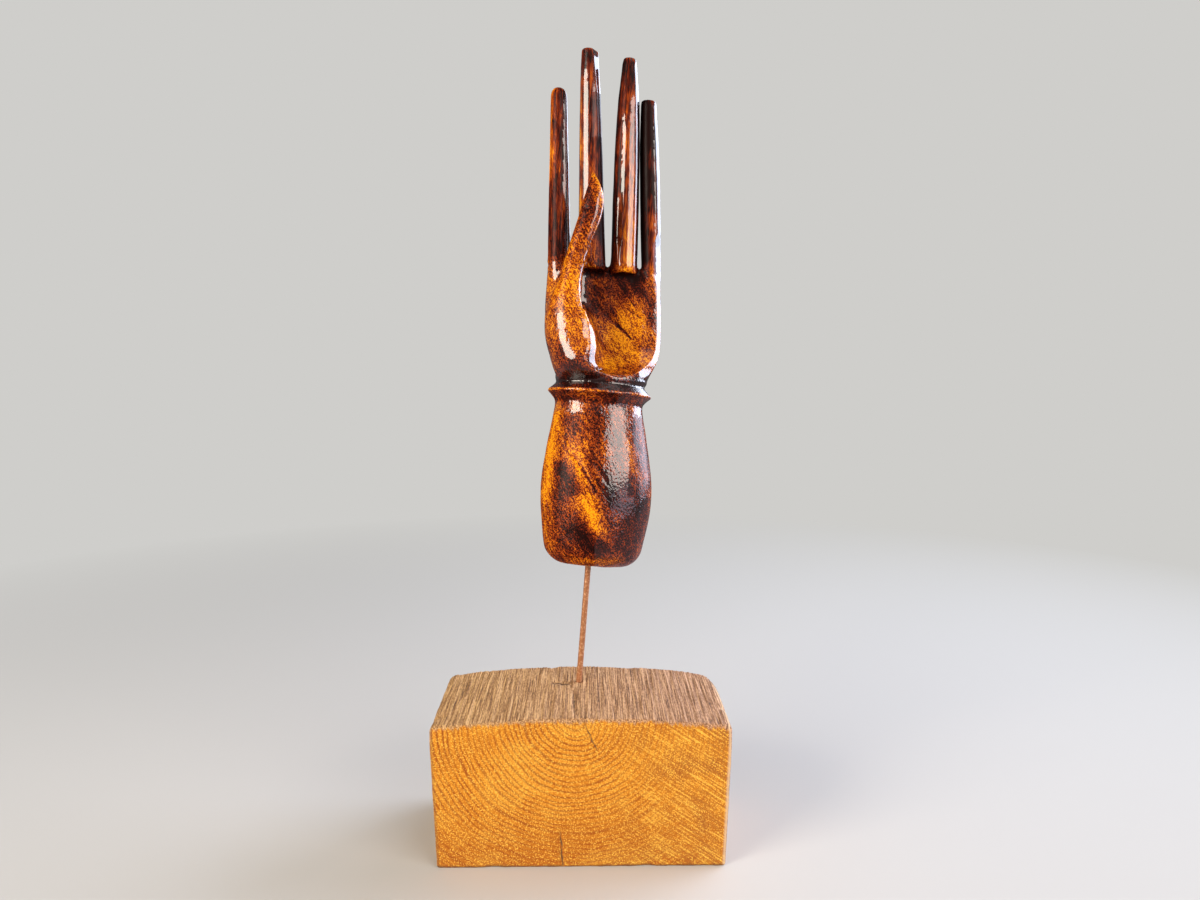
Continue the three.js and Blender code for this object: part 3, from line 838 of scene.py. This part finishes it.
    def nearest(self, p):
        """Which finger each vertex is nearest to, and how far it is to the right of its line."""
        offs = np.array([off_line(p, root, tip) for root, tip in FINGERS.values()])
        best = np.argmin(np.linalg.norm(offs, axis=2), axis=0)
        return np.array(list(FINGERS))[best], offs[best, np.arange(len(p)), 0]

    def paint(self, mesh):
        """Stores what the varnished wood reads at each vertex, and sets the finish of each face."""
        p, _, axes = self.local(mesh)
        facing = normal_array(mesh) @ axes.T
        thumb = nearness(p, (-20, -20, 132), (-12, -26, 190), 11)
        fingers = smooth_step(146, 158, p[:, 2]) * (1 - np.clip(1.6 * thumb, 0, 1))
        store(mesh, "tone", self.tone(mesh, p, facing, fingers))
        store(mesh, "straight", fingers)
        store(mesh, "pebble", self.pebble(p, fingers, thumb))
        store(mesh, "crack", crack_share(p, HAND_WANDER, CRACKS))
        store(mesh, "carving_mm", p)
        corners = read(mesh.loops, "vertex_index", 1, np.int32)[:, 0]
        starts = read(mesh.polygons, "loop_start", 1, np.int32)[:, 0]
        mesh.polygons.foreach_set("material_index", self.finish(p)[corners[starts]])

    def tone(self, mesh, p, facing, fingers):
        """How dark the stain is at each vertex, with painted light and shade: by part, by stroke,
        darker in hollows as pooled stain and painted shade, and paler on crests as wear and painted
        highlight.
        """
        back = smooth_step(0.0, 0.5, facing[:, 1])
        parts = {
            "fingers": fingers,
            "back": back,
            # Painted shade: the side that faces right is darker
            "right": smooth_step(0.45, 0.85, facing[:, 0]),
            "flange": within(p[:, 2], *FLANGE),
            "forearm": smooth_step(84, 80, p[:, 2]),
            # Partly stain and partly painted shade: the neck above the flange is darker
            "neck": within(p[:, 2], *NECK),
        }
        tone = np.full(len(p), TONES["start"])
        for part, share in parts.items():
            tone += TONES[part] * share
        far_out = smooth_step(21.5, 24.0, norms(p[:, :2]))
        # Partly wear and partly painted highlight: a pale line along the bracelet's rim crest
        rubbed = 0.36 + 0.4 * noise_at(p / (5.0, 5.0, 40.0))
        tone -= rubbed * np.exp(-((p[:, 2] - RIM_CREST) / 0.6) ** 2) * far_out
        front = 1 - 0.9 * back
        for start, end, radius, strength in STAINS_AND_PAINTED_LIGHT:
            tone += strength * front * nearness(p, start, end, radius)
        # Darker in hollows, as pooled stain and painted shade, and paler on crests, as wear and painted
        # highlight
        even = averaged(p, edge_array(mesh), 30)
        proud = np.einsum("ij,ij->i", p - even, facing)
        tone += 0.7 * np.clip(-proud - 0.1, 0, 0.8) - 0.3 * np.clip(proud - 0.3, 0, 0.8)
        return tone

    def finish(self, p):
        """Number of each vertex's finish: glossy, satin or worn dull, with ragged borders."""
        x, y, z = p.T
        nearest, right = self.nearest(p)
        ragged = noise_at(p / 2.0) * np.where(z > FINGER_ROOTS, 0.5, 1.2)
        height = z + 2 * ragged
        places = {name: ((nearest == name) & (z > FINGER_ROOTS), right) for name in FINGERS}
        places["thumb"] = ((nearest == "thumb") & (y < -14), right)
        places["forearm"] = (z < 88, x)
        palm = (x + ragged < 18) & (y < 4) & (z > 96) & (z < 152)
        places["hollow"] = (palm, self.beyond_crest(p) - 0.5 * ragged)
        found = np.zeros(len(p), np.int32)
        for place, left, end, low, top, finish in WORN:
            members, across = places[place]
            across = across + ragged
            inside = (across > left) & (across < end) & (height > low) & (height < top)
            found[members & inside] = list(FINISHES).index(finish)
        return found

    def pebble(self, p, fingers, thumb):
        """How bumpy the varnish lies: most on the forearm, least on the fingers."""
        bumpy = np.ones(len(p))
        bumpy -= 0.45 * smooth_step(92, 100, p[:, 2])
        bumpy -= 0.3 * nearness(p, (-20, -22, 112), (-20, -22, 150), 14)
        bumpy *= (1 - 0.85 * fingers) * (1 - 0.5 * thumb)
        return np.clip(bumpy, 0.05, 1.0)


def weathered_timber(look):
    """Old softwood: orange end grain with growth rings, and a grey top of ridged fibres."""
    material = new_material("weathered_softwood_raw")
    tree = material.node_tree
    place = add(tree, "TexCoord", out="Object")
    place = add(tree, "VectorMath", {0: place, "Scale": 1 / MM}, operation="SCALE")
    across = add(tree, "SeparateXYZ", (place,), out="X")
    end, worn, dirt, check = [
        add(tree, "Attribute", out="Fac", attribute_name=name)
        for name in ("end_grain", "worn", "dirt", "check")]
    fibres = add(tree, "Mix", {
        0: 0.35,
        2: grain_noise(tree, place, "fibre", detail=2.0),
        3: grain_noise(tree, place, "broken_fibre"),
    })
    old = add(tree, "ValToRGB", (fibres,), stops=(
        (0.35, look.furrow), (0.48, look.weathered), (0.60, look.fibre)))
    # Painted light: a warm cast on the left of the top, fading to a cool one on the right
    right = add(tree, "MapRange", (across, -50, 50, 0, 1))
    tint = add(tree, "Mix", {0: right, 6: look.painted_warm_light, 7: look.painted_cool_light}, out=2, data_type="RGBA")
    colour = add(tree, "Mix", {0: 1.0, 6: old, 7: tint}, out=2, data_type="RGBA", blend_type="MULTIPLY")
    split = add(tree, "MapRange", (check, 0.6, 1.3, 0.85, 0.0))
    for share, over in (
            (end, sawn_wood(tree, place, across, look)),
            (worn, look.fibre),
            # Darker at the foot of the sawn ends and along their left edges
            (dirt, look.furrow),
            (split, look.furrow)):
        colour = add(tree, "Mix", {0: share, 6: colour, 7: over}, out=2, data_type="RGBA")
    relief = add(tree, "Mix", {0: end, 2: fibres, 3: grain_noise(tree, place, "saw_mark")})
    grain = add(tree, "Bump", {"Strength": 0.6, "Distance": 0.3 * MM, "Height": relief})
    shader = add(tree, "BsdfPrincipled", {
        "Base Color": colour, "Roughness": 0.75, "Normal": grain, "Specular IOR Level": 0.3})
    add(tree, "OutputMaterial", {"Surface": shader})
    return material


def sawn_wood(tree, place, across, look):
    """Colour of the sawn end: uneven growth rings, bright specks, rays and weather stain."""
    wander = grain_noise(tree, place, "ring_wander", detail=2.0, out=1)
    wander = add(tree, "VectorMath", (wander, (5.0, 0.0, 5.0), (-2.5, 0.0, -2.5)),
                 operation="MULTIPLY_ADD")
    from_pith = add(tree, "VectorMath", (place, PITH), operation="SUBTRACT")
    from_pith = add(tree, "VectorMath", (from_pith, (1, 0, 1)), operation="MULTIPLY")
    from_pith = add(tree, "VectorMath", (from_pith, wander), operation="ADD")
    radius = add(tree, "VectorMath", (from_pith,), out="Value", operation="LENGTH")
    uneven = add(tree, "TexNoise", {"W": radius, "Scale": 0.14, "Detail": 1.0}, noise_dimensions="1D")
    turns = add(tree, "Math", (radius, 2 * math.pi * MM / look.ring_spacing), operation="MULTIPLY")
    turns = add(tree, "Math", (uneven, 9.0, turns), operation="MULTIPLY_ADD")
    ring = add(tree, "Math", (turns,), operation="SINE")
    ring = add(tree, "MapRange", (ring, 0.0, 0.9, 0.0, 1.0))
    patch = grain_noise(tree, place, "ring_patch", detail=2.0)
    patch = add(tree, "MapRange", (patch, 0.36, 0.56, 0.55, 1.0))
    clear = add(tree, "MapRange", (across, 10.0, 56.0, 1.0, 0.4))
    clear = add(tree, "Math", (patch, clear), operation="MULTIPLY")
    layers = [(add(tree, "Math", (ring, clear), operation="MULTIPLY"), look.late_wood)]
    up = add(tree, "SeparateXYZ", (place,), out="Z")
    cloud = grain_noise(tree, place, "cloud", detail=5.0)
    speck = grain_noise(tree, place, "end_speck", detail=2.0)
    for value, low, high, first, last, tint in (
            # Darker towards the bottom of the sawn end
            (up, 40.0, 4.0, 0.0, 0.55, look.late_wood),
            (cloud, 0.50, 0.36, 0.0, 0.22, look.late_wood),
            (cloud, 0.50, 0.64, 0.0, 0.14, look.resin),
            (speck, 0.34, 0.48, 0.5, 0.0, look.late_wood),
            (speck, 0.53, 0.66, 0.0, 0.7, look.resin)):
        layers.append((add(tree, "MapRange", (value, low, high, first, last)), tint))
    ray = grain_noise(tree, place, "ray", RAY_SLANT, 2.0)
    soil = grain_noise(tree, place, "soil", detail=4.0)
    soil = add(tree, "MapRange", (soil, 0.46, 0.62, 0.0, 1.0))
    grit = add(tree, "MapRange", (speck, 0.58, 0.42, 0.1, 1.0))
    right = add(tree, "MapRange", (across, 8.0, 60.0, 0.0, 1.0))
    for share, tint in (
            (add(tree, "MapRange", (ray, 0.50, 0.64, 0.0, 0.7)), look.stain),
            (add(tree, "MapRange", (ray, 0.46, 0.36, 0.0, 0.6)), look.resin),
            (add(tree, "Math", (soil, grit), operation="MULTIPLY"), look.stain)):
        layers.append((add(tree, "Math", (share, right), operation="MULTIPLY"), tint))
    colour = look.early_wood
    for share, tint in layers:
        colour = add(tree, "Mix", {0: share, 6: colour, 7: tint}, out=2, data_type="RGBA")
    return colour


class CARVED_OT_block(bpy.types.Operator):
    """Shapes the weathered timber block"""

    bl_idname = "carved.block"
    bl_label = "Weathered block"

    def execute(self, context):
        look = context.scene.carved_block
        bm = bmesh.new()
        bmesh.ops.create_cube(bm, size=2.0)
        for axis, count in enumerate(look.cells):
            edges = [e for e in bm.edges if abs(e.verts[0].co[axis] - e.verts[1].co[axis]) > 1e-3]
            bmesh.ops.subdivide_edges(bm, edges=edges, cuts=count - 1, use_grid_fill=True)
        mesh = built_mesh(bm, "weathered_block")
        self.shape(mesh, look)
        obj = new_object("weathered_block", mesh)
        depth = along_rod("mounting_rod")[:, 2].min() - context.scene.carved_hand.bore_gap
        drill(obj, rod_radius() + context.scene.carved_hand.bore_gap, depth, 10 * MM)
        shade_smooth(obj.data)
        obj.data.materials.append(weathered_timber(look))
        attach(obj, "block")
        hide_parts("base_block")
        return {"FINISHED"}

    def shape(self, mesh, look):
        """Rounds, crowns, tapers and weathers the gridded cube, and stores its masks."""
        low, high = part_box("base_block")
        size = np.array(high - low) / MM
        half = size / 2
        c = vertex_array(mesh)
        p = self.rounded(c, half, look)
        shoulder = look.shoulder / MM
        crown = size[2] - shoulder
        across = p[:, 0] / half[0]
        up = (p[:, 2] + half[2]) * (size[2] - crown * across ** 2) / size[2]
        taper = look.foot_width / MM / size[0]
        p[:, 0] *= taper + (1 - taper) * np.clip(up / shoulder, 0, 1)
        p[:, 2] = up
        check = self.weather(p, c, half, look)
        place_vertices(mesh, p * MM)
        store(mesh, "check", check)
        self.store_masks(mesh, p, c, half[0], shoulder + crown * (1 - across ** 2) - p[:, 2])

    def rounded(self, c, half, look):
        """Places in millimetres of a box with rounded and worn edges, crowded towards its edges."""
        crowd = np.array([0.4, 0.75, 0.6])
        p = ((1 - crowd) * c + crowd * (1.5 * c - 0.5 * c ** 3)) * half
        side_near = smooth_step(half[0] - 12, half[0] - 2, np.abs(p[:, 0]))
        top_near = smooth_step(half[2] - 12, half[2] - 2, p[:, 2])
        back_right = np.exp(-np.sum(((p - half) / 14.0) ** 2, axis=1))
        round_off = look.arris / MM * (1 + 0.5 * noise_at(p / 7.0))
        round_off += (look.top_corner - look.arris) / MM * side_near * top_near
        round_off += look.worn_corner / MM * back_right
        inner = np.clip(p, -half + round_off[:, None], half - round_off[:, None])
        gap = p - inner
        length = np.maximum(norms(gap), 1e-9)
        return inner + gap * np.minimum(1.0, round_off / length)[:, None]

    def weather(self, p, c, half, look):
        """Cuts ridges, growth rings, cracks and chips, and returns how far off the cracks are."""
        end = np.abs(c[:, 1]) > ON_FACE
        flank = np.abs(c[:, 0]) > ON_FACE
        flat = np.stack([p[:, 0], p[:, 1] / 40.0, np.full(len(p), 1.7)], axis=1)
        ridges = noise_at(flat) + 0.5 * noise_at(flat * (2.1, 2.0, 1.0) + 5.0)
        ridges += 0.8 * noise_at(flat * (0.09, 1.4, 1.0) + 9.0)
        on_top = smooth_step(0.985, 0.998, c[:, 2])
        p[:, 2] += on_top * (ridges - 0.3) * look.ridge_depth / MM
        ring = np.sqrt((p[:, 0] - PITH[0]) ** 2 + (p[:, 2] - PITH[2]) ** 2)
        relief = np.sin(2 * math.pi * ring * MM / look.ring_spacing) * look.ring_depth / MM
        p[:, 1] -= np.sign(c[:, 1]) * end * ~flank * (relief + look.ring_depth / MM)
        check = crack_share(p, BLOCK_WANDER, CHECKS)
        split = np.exp(-(check / CRACK_SPREAD) ** 2) * look.check_depth / MM
        p[:, 1] += np.where(end & (c[:, 1] < 0), split, 0)
        p[:, 2] -= np.where(c[:, 2] > ON_FACE, split, 0)
        inward = np.array([0, 0, half[2]]) - p
        inward /= norms(inward)[:, None]
        for place, radius, depth in CHIPS:
            gap = norms(shaken(p, 2.0, 0.8) - place)
            p += inward * (depth * np.exp(-(gap / radius) ** 2))[:, None]
        p[:, 2] = np.maximum(p[:, 2], 0.0)
        return check

    def store_masks(self, mesh, p, c, half_width, below):
        """Stores where the sawn ends and the worn corners show, and where the sawn ends are darker at
        the foot and along their left edges.
        """
        end = np.abs(c[:, 1]) > ON_FACE
        top = c[:, 2] > ON_FACE
        teeth = np.full(len(p), 1.5)
        for width, offset, reach in ((0.9, 2.2, 1.6), (6.0, 7.7, 0.9)):
            spots = np.stack([p[:, 0] / width, np.full(len(p), offset), p[:, 1] / 60], axis=1)
            teeth += reach * noise_at(spots)
        foot = smooth_step(1.8, 0.3, p[:, 2] + 0.7 * noise_at(p / 5.0))
        wear = smooth_step(half_width - 3.4, half_width - 1.2, np.abs(c[:, 0]) * half_width)
        store(mesh, "end_grain", np.where(end, smooth_step(-0.6, 0.8, below - teeth), 0.0))
        store(mesh, "worn", 0.85 * wear * (end | top) * (0.5 + 0.5 * np.sign(p[:, 0])))
        # Darker at the foot of the sawn ends and along their left edges
        store(mesh, "dirt", np.clip(0.75 * foot * end + 0.4 * wear * end * (p[:, 0] < 0), 0, 1))


def rusty_steel(look):
    """Thin steel with old rust: copper-brown, spotted, with a dull metal shine."""
    material = new_material("rusty_steel_rod")
    tree = material.node_tree
    place = add(tree, "TexCoord", out="Object")
    spots = add(tree, "TexNoise", {
        "Vector": place, "Scale": 0.8 / MM, "Detail": 4.0, "Roughness": 0.6})
    colour = add(tree, "ValToRGB", (spots,), stops=(
        (0.32, look.dark_rust), (0.50, look.rust), (0.72, look.bright)))
    rough = add(tree, "MapRange", (spots, 0.3, 0.7, 0.7, 0.42))
    pits = add(tree, "Bump", {"Strength": 0.5, "Distance": 0.1 * MM, "Height": spots})
    shader = add(tree, "BsdfPrincipled", {
        "Base Color": colour, "Metallic": 0.3, "Roughness": rough, "Normal": pits})
    add(tree, "OutputMaterial", {"Surface": shader})
    return material


class CARVED_OT_rod(bpy.types.Operator):
    """Turns the thin rusty rod"""

    bl_idname = "carved.rod"
    bl_label = "Rusty rod"

    def execute(self, context):
        look = context.scene.carved_rod
        origin, axes = rod_frame()
        reach = along_rod("mounting_rod")[:, 2]
        low = reach.min()
        high = reach.max()
        radius = rod_radius()
        bm = bmesh.new()
        bmesh.ops.create_cone(
            bm, cap_ends=True, segments=look.cells[0], radius1=radius, radius2=radius,
            depth=high - low)
        long_edges = [e for e in bm.edges if abs(e.verts[0].co.z - e.verts[1].co.z) > 1e-4]
        bmesh.ops.subdivide_edges(bm, edges=long_edges, cuts=look.cells[1] - 1)
        mesh = built_mesh(bm, "rusty_rod")
        p = vertex_array(mesh)
        pits = 0.5 + 0.5 * noise_at(p / (0.9 * MM))
        p[:, :2] *= (1 - pits * look.pit_depth / radius)[:, None]
        p[:, 2] += (low + high) / 2
        place_vertices(mesh, origin + p @ axes)
        shade_smooth(mesh)
        obj = new_object("rusty_rod", mesh)
        mesh.materials.append(rusty_steel(look))
        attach(obj, "rod")
        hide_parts("mounting_rod")
        return {"FINISHED"}


# Soft boxes: name, degrees right of the front and up, distance, width, height, watts, spread, colour
SOFT_BOXES = (
    ("window_left", -51, 14, 1.20, 0.62, 0.92, 17.7, 180, "FFF4E4"),
    ("window_right", 42, 21, 1.20, 1.00, 0.60, 10.0, 180, "FFF4EC"),
    ("window_side", 115, 14, 1.20, 1.10, 0.90, 13.6, 120, "E0E9FF"),
    ("window_rear", 155, 22, 1.30, 0.50, 0.52, 1.6, 120, "E0E9FF"),
    ("card_right", 50, -4, 1.15, 1.00, 0.22, 1.1, 180, "F4EAFF"),
    ("ceiling", 0, 80, 1.60, 1.60, 1.60, 4.0, 180, "FFFFFF"),
)


class CARVED_OT_studio(bpy.types.Operator):
    """Sets the camera, the soft lights and the pale floor"""

    bl_idname = "carved.studio"
    bl_label = "Studio"

    def execute(self, context):
        look = context.scene.carved_studio
        scene = context.scene
        camera = new_object("camera", bpy.data.cameras.new("camera"))
        camera.data.lens = look.focal
        camera.data.sensor_width = 36.0
        camera.data.clip_start = 0.01
        camera.location = look.eye
        camera.rotation_euler = (math.pi / 2 - look.pitch, 0, -look.turn)
        scene.camera = camera
        scene.view_settings.view_transform = "Standard"
        for name, turn, rise, distance, width, height, watts, fan, code in SOFT_BOXES:
            lamp = bpy.data.lights.new(name, "AREA")
            lamp.shape = "RECTANGLE"
            lamp.size = width
            lamp.size_y = height
            lamp.energy = watts
            lamp.spread = math.radians(fan)
            lamp.color = linear(code)
            turn = math.radians(turn)
            rise = math.radians(rise)
            away = Vector((math.sin(turn) * math.cos(rise), -math.cos(turn) * math.cos(rise),
                           math.sin(rise)))
            box = new_object(name, lamp)
            box.visible_camera = False
            box.location = Vector(look.target) + away * distance
            box.rotation_euler = away.to_track_quat("Z", "Y").to_euler()
        world = bpy.data.worlds.new("studio")
        world.use_nodes = True
        background = world.node_tree.nodes["Background"]
        background.inputs["Color"].default_value = (1, 1, 1, 1)
        background.inputs["Strength"].default_value = look.fill
        scene.world = world
        self.sweep(look)
        return {"FINISHED"}

    def sweep(self, look):
        """Round floor that curves up into a backdrop all the way round."""
        bm = bmesh.new()
        bmesh.ops.create_grid(bm, x_segments=72, y_segments=48, size=1.0)
        flat = look.floor_reach
        radius = look.floor_bend
        wall = look.floor_wall
        arc = radius * math.pi / 2
        for vert in bm.verts:
            turn = math.pi * vert.co.x
            way = (vert.co.y + 1) / 2 * (flat + arc + wall)
            bend = min(max(way - flat, 0.0), arc) / radius
            out = min(way, flat) + radius * math.sin(bend)
            rise = radius * (1 - math.cos(bend)) + max(way - flat - arc, 0.0)
            vert.co = (out * math.sin(turn), -out * math.cos(turn), rise)
        bmesh.ops.remove_doubles(bm, verts=bm.verts, dist=MM)
        bmesh.ops.recalc_face_normals(bm, faces=bm.faces)
        mesh = built_mesh(bm, "floor")
        shade_smooth(mesh)
        floor = new_object("floor", mesh)
        material = new_material("matt_pale_board")
        tree = material.node_tree
        mirrored = add(tree, "LightPath", out="Is Glossy Ray")
        colour = add(tree, "Mix", {0: mirrored, 6: look.backdrop, 7: look.mirrored}, out=2,
                     data_type="RGBA")
        board = add(tree, "BsdfPrincipled", {
            "Base Color": colour, "Roughness": 0.9, "Specular IOR Level": 0.1})
        pale = add(tree, "Emission", {"Color": look.distance, "Strength": 1.0})
        clear = add(tree, "BsdfTransparent")
        seen = add(tree, "LightPath", out="Is Camera Ray")
        far = add(tree, "MixShader", (seen, clear, pale))
        place = add(tree, "TexCoord", out="Object")
        away = add(tree, "VectorMath", (place,), out="Value", operation="LENGTH")
        share = add(tree, "MapRange", (away, look.near, look.far, 0.0, 1.0))
        shader = add(tree, "MixShader", (share, board, far))
        add(tree, "OutputMaterial", {"Surface": shader})
        mesh.materials.append(material)


class CARVED_PT_panel(bpy.types.Panel):
    """Lists the pieces in the sidebar"""

    bl_label = "Carved Hand"
    bl_space_type = "VIEW_3D"
    bl_region_type = "UI"
    bl_category = "Carved Hand"

    def draw(self, context):
        for operator in OPERATORS:
            self.layout.operator(operator.bl_idname)
        for name in LOOKS:
            look = getattr(context.scene, name)
            box = self.layout.box()
            for key in look.bl_rna.properties.keys():
                if key not in ("rna_type", "name"):
                    box.prop(look, key)


OPERATORS = (CARVED_OT_hand, CARVED_OT_block, CARVED_OT_rod, CARVED_OT_studio)
LOOKS = {
    "carved_hand": HandLook,
    "carved_block": BlockLook,
    "carved_rod": RodLook,
    "carved_studio": StudioLook,
}


def register():
    """Adds the properties, the operators and the panel to Blender."""
    for name, look in LOOKS.items():
        bpy.utils.register_class(look)
        setattr(bpy.types.Scene, name, PointerProperty(type=look))
    for operator in OPERATORS:
        bpy.utils.register_class(operator)
    bpy.utils.register_class(CARVED_PT_panel)


def unregister():
    """Takes them out again."""
    bpy.utils.unregister_class(CARVED_PT_panel)
    for operator in reversed(OPERATORS):
        bpy.utils.unregister_class(operator)
    for name, look in LOOKS.items():
        delattr(bpy.types.Scene, name)
        bpy.utils.unregister_class(look)


def main():
    """Builds every piece."""
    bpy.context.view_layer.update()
    register()
    bpy.ops.carved.hand()
    bpy.ops.carved.block()
    bpy.ops.carved.rod()
    bpy.ops.carved.studio()


if __name__ == "__main__":
    main()
